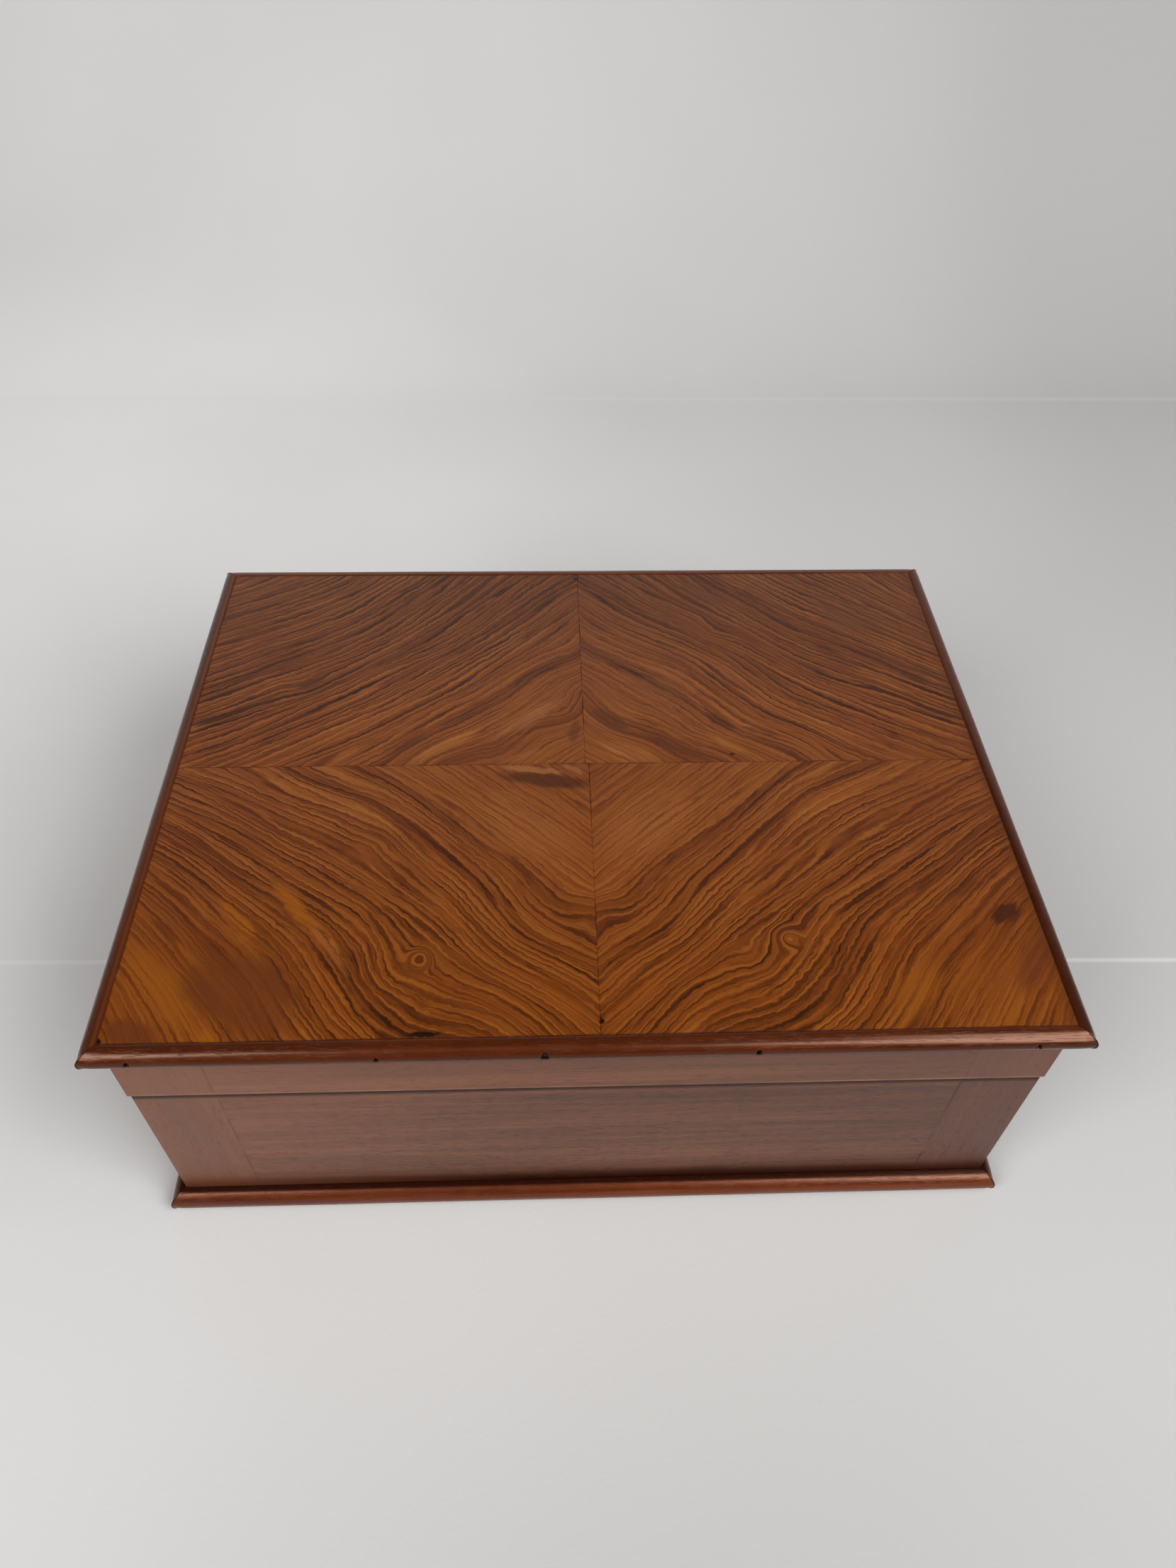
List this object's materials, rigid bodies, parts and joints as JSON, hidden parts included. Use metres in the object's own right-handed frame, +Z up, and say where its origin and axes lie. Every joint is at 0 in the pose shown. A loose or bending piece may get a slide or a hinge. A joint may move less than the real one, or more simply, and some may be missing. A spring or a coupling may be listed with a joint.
{
  "type": "wooden compartment box",
  "caption": "Low rectangular wooden box with a veneered lid on stopped hinges, a moulded edge and plinth, and a grid of square compartments.",
  "frame": {"origin": "on the surface that the box stands on, at the middle of its outline", "axes": "+X to the right along the length, +Y to the back where the hinges are, +Z up"},
  "size_m": [0.4, 0.311, 0.1497],
  "materials": {
    "veneer": "polished, figured veneer",
    "moulding": "polished, straight grain",
    "carcass_wood": "satin, fine straight grain",
    "inner_wood": "waxed, plain",
    "brass": "aged, satin",
    "iron": "dark, dull"
  },
  "bodies": {
    "case": {"base_board": "inner_wood", "base_brads": "iron", "front_board": "carcass_wood", "front_left_stile": "carcass_wood", "front_right_stile": "carcass_wood", "back_board": "carcass_wood", "back_left_stile": "carcass_wood", "back_right_stile": "carcass_wood", "left_side_board": "carcass_wood", "right_side_board": "carcass_wood", "plinth_front": "moulding", "plinth_back": "moulding", "plinth_left": "moulding", "plinth_right": "moulding", "liner_front": "inner_wood", "liner_back": "inner_wood", "liner_left": "inner_wood", "liner_right": "inner_wood", "cross_divider_1": "inner_wood", "cross_divider_2": "inner_wood", "cross_divider_3": "inner_wood", "long_divider_1": "inner_wood", "long_divider_2": "inner_wood", "hinge_left_case_leaf": "brass", "hinge_right_case_leaf": "brass", "hinge_left_pin": "brass", "hinge_right_pin": "brass", "case_hinge_screws": "brass"},
    "lid": {"lid_panel": "inner_wood", "veneer_front_left": "veneer", "veneer_front_right": "veneer", "veneer_back_left": "veneer", "veneer_back_right": "veneer", "lid_moulding_front": "moulding", "lid_moulding_back": "moulding", "lid_moulding_left": "moulding", "lid_moulding_right": "moulding", "rim_front_board": "carcass_wood", "rim_front_left_stile": "carcass_wood", "rim_front_right_stile": "carcass_wood", "rim_back_board": "carcass_wood", "rim_back_left_stile": "carcass_wood", "rim_back_right_stile": "carcass_wood", "rim_left_board": "carcass_wood", "rim_right_board": "carcass_wood", "hinge_left_lid_leaf": "brass", "hinge_right_lid_leaf": "brass", "lid_hinge_screws": "brass", "lid_moulding_brads": "iron"}
  },
  "joints": [
    {"name": "lid_hinge", "type": "hinge", "parent": "case", "child": "lid", "pos_m": [0, 0.151, 0.10635], "axis": [-1, 0, 0], "range_deg": [0, 100]}
  ]
}
